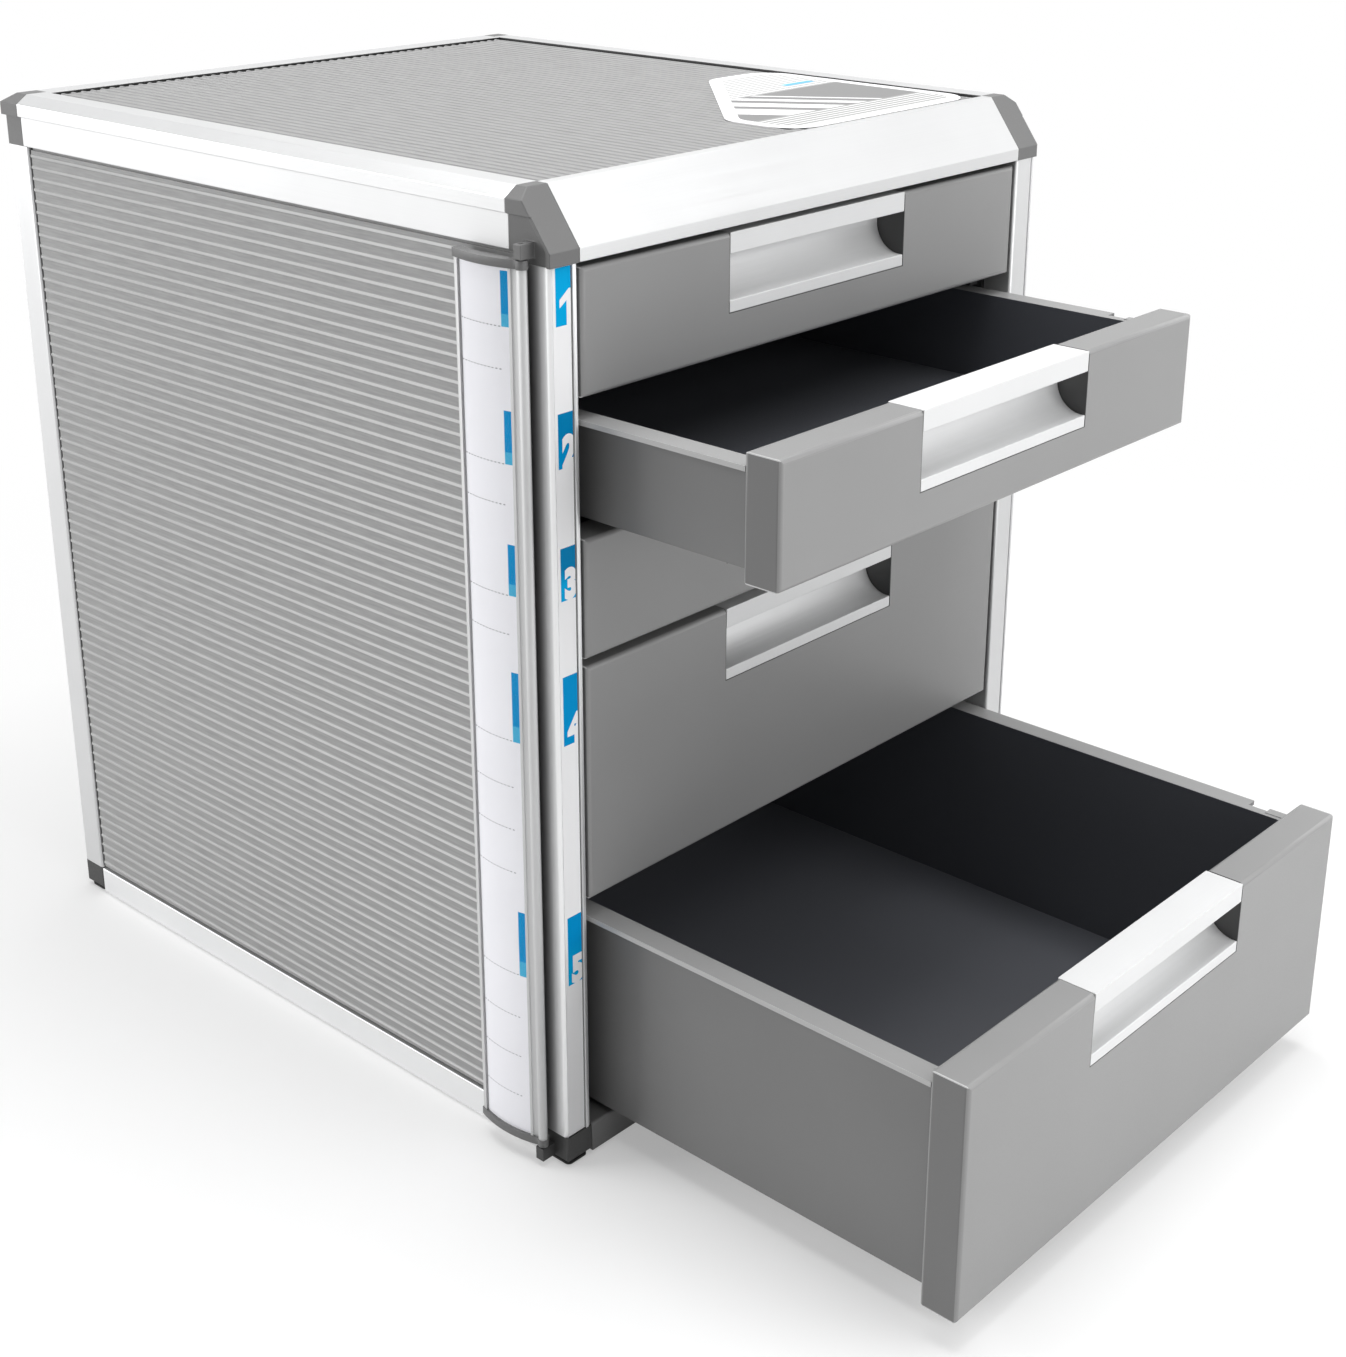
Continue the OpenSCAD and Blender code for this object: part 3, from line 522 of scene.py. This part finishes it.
def card_finish():
    low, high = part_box("index_card")
    material, tree, shader = finish("printed_card", CARD_WHITE, 0.5, gloss=0.05)
    xyz = add(tree, "SeparateXYZ", {0: object_place(tree)})
    y, z = xyz.outputs[1], xyz.outputs[2]
    colour = shaded(tree, CARD_WHITE, grain(tree, 30), 0.01)
    dots = sums(tree, "GREATER_THAN", sums(tree, "FRACT", sums(tree, "DIVIDE", y, DOT_PITCH)), 0.5)
    edge_shadow_y = high.y - EDGE_STRIP
    # Painted shadow: a dark hairline down the rear edge, beside the lip.
    colour = mixed(tree, between(tree, y, edge_shadow_y - EDGE_SHADOW_W, edge_shadow_y), colour, grey(EDGE_SHADOW_GREY))
    written = (low.y + TAB_IN + TAB_W, edge_shadow_y)
    for top, height in zip(field_tops, field_heights):
        shallow = height < SHALLOW_FRONT * 1.5
        tab_h = TAB_SHALLOW if shallow else TAB_DEEP
        tab = (low.y + TAB_IN, low.y + TAB_IN + TAB_W)
        split = top - tab_h * TAB_SPLIT
        upper = rectangle(tree, y, z, tab, (split, top))
        lower = rectangle(tree, y, z, tab, (top - tab_h, split))
        colour = mixed(tree, upper, colour, CLEAR_BLUE)
        colour = mixed(tree, lower, colour, SOFT_BLUE)
        for drop in SHALLOW_LINES if shallow else DEEP_LINES:
            line_z = top - drop * MM
            line = rectangle(tree, y, z, written, (line_z - LINE_HALF, line_z + LINE_HALF))
            colour = mixed(tree, sums(tree, "MULTIPLY", line, dots), colour, DOT_GREY)
    wire(tree, colour, shader, "Base Color")
    return material


card_print = card_finish()
print("card nodes:", len(card_print.node_tree.nodes))

# %% [markdown]
# The strip has one blue block per drawer. A block changes from one blue to another over its height,
# and the strip's right edge is painted dark as the groove's shade.

# %% Number strip
STRIP_MARGIN = 1.4 * MM
STRIP_SHADE, GROOVE_SHADE_GREY = 0.3 * MM, 0.10
BLOCK_STARTS = [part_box("label_strip")[1].z] + field_tops[1:]
BLOCK_HEIGHTS = (20.7, 20.5, 20.5, 28, 30)
BLOCK_TOPS = (LIGHT_BLUE, STRONG_BLUE, STRONG_BLUE, CLEAR_BLUE, CLEAR_BLUE)
BLOCK_FEET = (LIGHT_BLUE, CLEAR_BLUE, LIGHT_BLUE, CLEAR_BLUE, LIGHT_BLUE)
BLOCK_SPLIT, BLOCK_BLEND = 0.6, 0.3


def strip_finish():
    low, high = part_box("label_strip")
    material, tree, shader = finish("printed_strip", PALE_WHITE, 0.5, gloss=0.05)
    xyz = add(tree, "SeparateXYZ", {0: object_place(tree)})
    x, z = xyz.outputs[0], xyz.outputs[2]
    colour = shaded(tree, PALE_WHITE, grain(tree, 30), 0.01)
    span = (low.x + STRIP_MARGIN, high.x)
    for top, block_h, head, foot in zip(BLOCK_STARTS, BLOCK_HEIGHTS, BLOCK_TOPS, BLOCK_FEET):
        bottom = top - block_h * MM
        block = rectangle(tree, x, z, span, (bottom, top))
        share = add(tree, "MapRange", {"Value": z, "From Min": bottom, "From Max": top}).outputs[0]
        blend = {"Value": share, "From Min": BLOCK_SPLIT - BLOCK_BLEND, "From Max": BLOCK_SPLIT}
        upper = add(tree, "MapRange", blend).outputs[0]
        colour = mixed(tree, block, colour, mixed(tree, upper, foot, head))
    # Painted shade: a thin dark band at the right edge, in the groove.
    shade = sums(tree, "GREATER_THAN", x, high.x - STRIP_SHADE)
    wire(tree, mixed(tree, shade, colour, grey(GROOVE_SHADE_GREY)), shader, "Base Color")
    return material


strip_print = strip_finish()
print("strip nodes:", len(strip_print.node_tree.nodes))

# %% [markdown]
# A clear film lies over the card. Glass that refracts would need light to find its way through it, and
# the card would turn dark. A thin film bends nothing anyway, so it is a glossy surface that is mostly
# see-through.

# %% Film, print ink and screws
FILM_ALPHA = 0.008
film_finish, tree, shader = finish("clear_film", (1, 1, 1, 1), 0.06, gloss=0.25)
shader.inputs["Alpha"].default_value = FILM_ALPHA

ink_white, tree, shader = finish("print_white", PALE_WHITE, 0.4, gloss=0.15)
wire(tree, shaded(tree, PALE_WHITE, grain(tree, 3), 0.01), shader, "Base Color")

steel_finish = aluminium("zinc_screw", "Y", 0.55, 0.35, 1.0)[0]
print("film alpha", FILM_ALPHA)

# %% [markdown]
# ## Sticker
# The panel carries a vinyl sticker with a white edge. Its print here is plain and generic: fine stripes,
# a dark band with slanted white bars, and a short blue bar. A slanted bar is a stripe of x plus a share
# of y, cut to a band of y, so no picture is needed.

# %% Sticker finishes
STRIPE_PITCH = 3.4 * MM
PALE_SHARE, PALE_SHARE_FRONT = 0.62, 0.40
BAND = (-34 * MM, 12 * MM)
SLANT = 0.7
BARS = ((14, 32), (40, 52), (60, 67), (75, 78))
BLUE_BAR = ((102, 122), (20, 24))
PRINT_PALE, PRINT_STRIPE, PRINT_DARK = grey(0.80), grey(0.30), grey(0.20)
sticker_finish, tree, shader = finish("vinyl_sticker", PALE_WHITE, 0.35, gloss=0.3)
wire(tree, shaded(tree, PALE_WHITE, grain(tree, 20), 0.01), shader, "Base Color")


def sticker_print_finish():
    material, tree, shader = finish("vinyl_print", PALE_WHITE, 0.35, gloss=0.3)
    xyz = add(tree, "SeparateXYZ", {0: object_place(tree)})
    x, y = xyz.outputs[0], xyz.outputs[1]
    share = sums(tree, "FRACT", sums(tree, "DIVIDE", y, STRIPE_PITCH))
    front_half = sums(tree, "LESS_THAN", y, BAND[0])
    widths = {"Value": front_half, "To Min": PALE_SHARE, "To Max": PALE_SHARE_FRONT}
    width = add(tree, "MapRange", widths).outputs[0]
    colour = mixed(tree, sums(tree, "GREATER_THAN", share, width), PRINT_PALE, PRINT_STRIPE)
    colour = mixed(tree, between(tree, y, *BAND), colour, PRINT_DARK)
    slanted = sums(tree, "MULTIPLY_ADD", y, SLANT, x)
    for start, end in BARS:
        bar = rectangle(tree, slanted, y, (start * MM, end * MM), BAND)
        colour = mixed(tree, bar, colour, PALE_WHITE)
    (x0, x1), (y0, y1) = BLUE_BAR
    blue = rectangle(tree, x, y, (x0 * MM, x1 * MM), (y0 * MM, y1 * MM))
    wire(tree, mixed(tree, blue, colour, SOFT_BLUE), shader, "Base Color")
    return material


sticker_print = sticker_print_finish()
print("sticker print nodes:", len(sticker_print.node_tree.nodes))

# %% [markdown]
# ## Give each solid its finish
# Every solid keeps its mesh, and only its material slot changes. The names say which finish a solid
# takes, so a short list of rules is enough, read from top to bottom. A profile's finish depends on the
# way it runs, because the lines of the die run along it.

# %% Assign the finishes
RULES = (
    ("panel_back", plain_coat), ("panel_base", plain_coat), ("panel_top", top_coat),
    ("rail_bottom_back", tube_finish["X"]), ("rail_bottom", tube_finish["Y"]),
    ("post_", post_finish),
    ("index_cap", cap_finish), ("index_card", card_print), ("index_film", film_finish),
    ("cap_top", cap_finish), ("cap_bottom", base_cap_finish), ("cap_screws", steel_finish),
    ("sill", sill_finish), ("runner", runner_finish), ("foot", pad_finish),
    ("label_strip", strip_print), ("top_sticker", sticker_finish),
)


def finish_for(node):
    for own in (side_coat, painted_shade_finish, tray_finishes, front_finishes):
        if node in own:
            return own[node]
    if node.endswith("_handle"):
        return handle_finish
    return next(material for start, material in RULES if node.startswith(start))


for name, obj in nodes.items():
    for slot in obj.material_slots:
        slot.material = finish_for(name)
print("materials in use:", len({finish_for(n).name for n in nodes}))

# %% [markdown]
# ## Soft edges
# No real edge is a perfect corner. A moulded edge has a radius, and a cut profile is broken with a file,
# and both show as a thin line of light. The CAD meshes have loose triangles, so a Weld modifier joins
# them first, and a Bevel modifier then rounds only what is sharper than thirty degrees. Both stay live,
# so the solids themselves are untouched.

# %% Bevel the solids
EDGE_WIDTHS = (
    ("index_card", 0), ("index_film", 0), ("label_strip", 0), ("top_sticker", 0), ("cap_screws", 0.15),
    ("panel_back", 0.3), ("panel_base", 0.3), ("panel_", 0.12), ("fascia", 0.35), ("rail_", 0.35),
    ("post_", 0.3), ("index_profile", 0.2), ("index_cap", 0.5), ("cap_", 0.6), ("sill", 0.5),
    ("runner", 0.4), ("foot", 0.3),
)
DRAWER_WIDTHS = {"front": 0.35, "tray": 0.45, "handle": 0.35}
SHARP = math.radians(30)
WELD_WITHIN = 0.002 * MM


def edge_width(node):
    """The width of a solid's softened edges in millimetres."""
    if node.startswith("drawer_"):
        return DRAWER_WIDTHS[node.split("_")[-1]]
    return next(width for start, width in EDGE_WIDTHS if node.startswith(start))


def soften(obj, width):
    weld = obj.modifiers.new("join_triangles", "WELD")
    weld.merge_threshold = WELD_WITHIN
    bevel = obj.modifiers.new("soft_edges", "BEVEL")
    bevel.width = width * MM
    bevel.segments = 2
    bevel.limit_method = "ANGLE"
    bevel.angle_limit = SHARP
    bevel.use_clamp_overlap = True
    bevel.harden_normals = True


for name, obj in nodes.items():
    if edge_width(name):
        soften(obj, edge_width(name))
print("softened:", sum(bool(edge_width(n)) for n in nodes))

# %% [markdown]
# ## New pieces
# A new piece starts as a primitive or a text, is shaped in edit mode, and ends as a mesh whose object
# sits at the origin. Operators act on whatever is selected, so each one starts with nothing selected.

# %% Helpers for new pieces
def only(obj):
    """Selects this object and nothing else."""
    bpy.ops.object.select_all(action="DESELECT")
    obj.select_set(True)
    bpy.context.view_layer.objects.active = obj


def settle(obj):
    """Puts the object's place into its mesh, so that the object itself is at the origin."""
    only(obj)
    bpy.ops.object.transform_apply(location=True, rotation=True, scale=True)


def hand_over(obj, body, material):
    """Gives a new piece its finish and parents it to the body it rides on."""
    obj.data.materials.clear()
    obj.data.materials.append(material)
    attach(obj, body)


bpy.ops.object.select_all(action="DESELECT")
print("selected:", len(bpy.context.selected_objects))

# %% [markdown]
# ### Drawer numbers
# Each blue block on the strip has a large white number at its lower right, cut off by the strip's edge.
# The number is printed, but a printed edge that sharp would need a very fine picture. A text object with
# a hair of thickness gives the same edge: it is made fatter with an offset, turned into a mesh, scaled
# to its height, laid on the strip and cut with bisect. The font's own 1 is a bare bar, so that number is
# drawn as a bar with a flag.

# %% Numbers
DIGIT_H = 12.6 * MM
DIGIT_FAT, DIGIT_NARROW = 0.065, 0.82
INK_T = 0.04 * MM
DIGIT_IN, DIGIT_DROP = 3.3 * MM, 0.1 * MM
ONE = ((3.4, 0), (6.5, 0), (6.5, 13.0), (4.6, 13.0), (0, 9.4), (0, 6.5), (3.4, 8.9))
strip_low, strip_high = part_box("label_strip")


def flat_one():
    """A bar with a flag, as a flat mesh in X and Y."""
    mesh = bpy.data.meshes.new("one")
    mesh.from_pydata([(x * MM, y * MM, 0) for x, y in ONE], [], [range(len(ONE))])
    one = bpy.data.objects.new("one", mesh)
    scene.collection.objects.link(one)
    only(one)
    bpy.ops.object.mode_set(mode="EDIT")
    bpy.ops.mesh.select_all(action="SELECT")
    bpy.ops.mesh.extrude_region_move(TRANSFORM_OT_translate={"value": (0, 0, INK_T)})
    bpy.ops.mesh.select_all(action="SELECT")
    bpy.ops.mesh.normals_make_consistent(inside=False)
    bpy.ops.object.mode_set(mode="OBJECT")
    return one


def flat_text(body):
    """A fat digit as a mesh in X and Y, scaled to its height."""
    bpy.ops.object.text_add(location=(0, 0, 0))
    text = bpy.context.object
    text.data.body = body
    text.data.offset = DIGIT_FAT
    text.data.extrude = 0.001
    bpy.ops.object.convert(target="MESH")
    digit = bpy.context.object
    share = DIGIT_H / digit.dimensions.y
    digit.scale = (share * DIGIT_NARROW, share, INK_T / digit.dimensions.z)
    settle(digit)
    lowest = [min(v.co[axis] for v in digit.data.vertices) for axis in range(3)]
    digit.location = [-low for low in lowest]
    settle(digit)
    return digit


def number_piece(index):
    """The number of one drawer, upright on the strip and cut off at its groove."""
    bpy.ops.object.select_all(action="DESELECT")
    digit = flat_text(str(index + 1)) if index else flat_one()
    digit.name = f"label_number_{index + 1}"
    digit.rotation_euler = (math.radians(90), 0, 0)
    bottom = BLOCK_STARTS[index] - BLOCK_HEIGHTS[index] * MM
    digit.location = (strip_low.x + DIGIT_IN, strip_low.y, bottom - DIGIT_DROP)
    settle(digit)
    bpy.ops.object.mode_set(mode="EDIT")
    bpy.ops.mesh.select_all(action="SELECT")
    edge = (strip_high.x - STRIP_SHADE, 0, 0)
    bpy.ops.mesh.bisect(plane_co=edge, plane_no=(1, 0, 0), use_fill=True, clear_outer=True)
    bpy.ops.object.mode_set(mode="OBJECT")
    hand_over(digit, "cabinet", ink_white)
    return digit


numbers = [number_piece(i) for i in range(len(field_tops))]
print("numbers:", [tuple(round(d / MM, 1) for d in n.dimensions) for n in numbers])

# %% [markdown]
# ### The sticker's print
# The print stops short of the die-cut outline and leaves a white edge of even width. Drawing that
# outline again would need all its points. It is quicker to copy the sticker's top face, inset it by the
# width of the edge, throw the outer ring away, and give what is left the thickness of an ink layer.

# %% Sticker print
STICKER_EDGE = 6 * MM
SAME_WAY = 0.9
SAME_PLACE = 0.005 * MM


def face_copy(node, name, facing):
    """A new mesh object with only the faces of a solid that face one way."""
    bpy.ops.object.select_all(action="DESELECT")
    copy = bpy.data.objects.new(name, nodes[node].data.copy())
    scene.collection.objects.link(copy)
    only(copy)
    bpy.ops.object.mode_set(mode="EDIT")
    bpy.ops.mesh.select_all(action="SELECT")
    bpy.ops.mesh.remove_doubles(threshold=SAME_PLACE)
    bpy.ops.mesh.select_all(action="DESELECT")
    bpy.ops.mesh.select_mode(type="FACE")
    shape = bmesh.from_edit_mesh(copy.data)
    for face in shape.faces:
        face.select_set(face.normal.dot(Vector(facing)) < SAME_WAY)
    bmesh.update_edit_mesh(copy.data)
    bpy.ops.mesh.delete(type="FACE")
    return copy


sticker_ink = face_copy("top_sticker", "sticker_print", (0, 0, 1))
bpy.ops.mesh.select_all(action="SELECT")
bpy.ops.mesh.dissolve_limited(angle_limit=math.radians(1))
bpy.ops.mesh.select_all(action="SELECT")
bpy.ops.mesh.inset(thickness=STICKER_EDGE, use_boundary=True)
bpy.ops.mesh.select_all(action="INVERT")
bpy.ops.mesh.delete(type="FACE")
bpy.ops.mesh.select_all(action="SELECT")
bpy.ops.mesh.extrude_region_move(TRANSFORM_OT_translate={"value": (0, 0, INK_T)})
bpy.ops.mesh.select_all(action="SELECT")
bpy.ops.mesh.normals_make_consistent(inside=False)
bpy.ops.object.mode_set(mode="OBJECT")
hand_over(sticker_ink, "cabinet", sticker_print)
print("sticker print:", [round(d / MM, 1) for d in sticker_ink.dimensions], "mm")

# %% [markdown]
# ## Studio
# The cabinet stands on a pale floor in a white room with six large soft lamps: one overhead, three in
# front at three heights, one far off at the left and behind, and a weak one at the right. A lamp's
# strength is given as its share of the light that makes a white sheet at the cabinet look just white.
# The falloff with distance then follows from where it stands. The room itself is dim, and only the
# camera sees it white. Reflections see it nearly white, so that metal has something bright to show.

# %% Room
ROOM_LIGHT, ROOM_MIRRORED = 0.15, 0.8
scene.view_settings.view_transform = "Standard"
world = bpy.data.worlds.new("room")
scene.world = world
world.use_nodes = True
tree = world.node_tree


def seen_directly(tree):
    """1 for rays from the camera or through glass, somewhat less for a reflection, else 0."""
    path = add(tree, "LightPath")
    mirrored = sums(tree, "MULTIPLY", path.outputs["Is Glossy Ray"], ROOM_MIRRORED)
    straight = sums(tree, "MAXIMUM", path.outputs["Is Camera Ray"], path.outputs["Is Transmission Ray"])
    return sums(tree, "MAXIMUM", straight, mirrored)


background = tree.nodes["Background"]
level = add(tree, "MapRange", {"Value": seen_directly(tree), "To Min": ROOM_LIGHT, "To Max": 1.0})
tree.links.new(level.outputs[0], background.inputs["Strength"])
background.inputs["Color"].default_value = (1, 1, 1, 1)
print("room level", ROOM_LIGHT)

# %% Lamps
AIM = Vector((0, 0, 0.2))


def lamp(name, place, size, share):
    """A square soft lamp that gives the aim that share of full white.

    Straight ahead of it, a lamp of so many watts gives watts / (pi * distance ** 2), and a white
    sheet looks just white at pi.
    """
    data = bpy.data.lights.new(name, "AREA")
    data.size = size
    distance = (Vector(place) - AIM).length
    data.energy = share * (math.pi * distance) ** 2
    obj = bpy.data.objects.new(name, data)
    scene.collection.objects.link(obj)
    obj.location = place
    obj.rotation_euler = (AIM - Vector(place)).to_track_quat("-Z", "Y").to_euler()
    return obj


lamp("lamp_top", (0.0, 0.1, 1.6), 1.2, 1.03)
lamp("lamp_high_front", (0.2, -0.8, 1.5), 1.0, 0.36)
lamp("lamp_front", (0.2, -0.8, 0.45), 0.5, 0.26)
lamp("lamp_low_front", (0.0, -0.8, 0.2), 0.4, 0.12)
lamp("lamp_left", (-1.8, 2.1, 1.0), 1.6, 0.57)
lamp("lamp_right", (1.4, -0.2, 0.5), 1.0, 0.21)

# %% [markdown]
# The floor has to end in the white of the room without an edge. So the camera sees a blend of a real,
# lit floor and plain white: mostly the real floor near the cabinet, where its shadow falls, and only
# white further out.

# %% Floor
FLOOR_R, FLOOR_GREY = 8.0, 0.9
FADE_START, FADE_END, FADE_LEAST = 0.40, 0.90, 0.35
bpy.ops.object.select_all(action="DESELECT")
bpy.ops.mesh.primitive_circle_add(vertices=64, radius=FLOOR_R, fill_type="NGON", location=(0, 0, 0))
floor = bpy.context.object
floor.name = "floor"
material, tree, shader = finish("pale_floor", grey(FLOOR_GREY), 0.9, gloss=0.1)
xyz = add(tree, "SeparateXYZ", {0: object_place(tree)})
flat = add(tree, "CombineXYZ", {0: xyz.outputs[0], 1: xyz.outputs[1]})
distance = add(tree, "VectorMath", {0: flat.outputs[0]}, operation="LENGTH").outputs["Value"]
fade_inputs = {"Value": distance, "From Min": FADE_START, "From Max": FADE_END, "To Min": FADE_LEAST}
fade = add(tree, "MapRange", fade_inputs, interpolation_type="SMOOTHSTEP").outputs[0]
white = add(tree, "Emission", {"Color": (1, 1, 1, 1), "Strength": 1.0})
blend = add(tree, "MixShader", {0: sums(tree, "MULTIPLY", fade, seen_directly(tree))})
tree.links.new(shader.outputs[0], blend.inputs[1])
tree.links.new(white.outputs[0], blend.inputs[2])
tree.links.new(blend.outputs[0], tree.nodes["Material Output"].inputs["Surface"])
floor.data.materials.append(material)
print("floor radius", FLOOR_R)
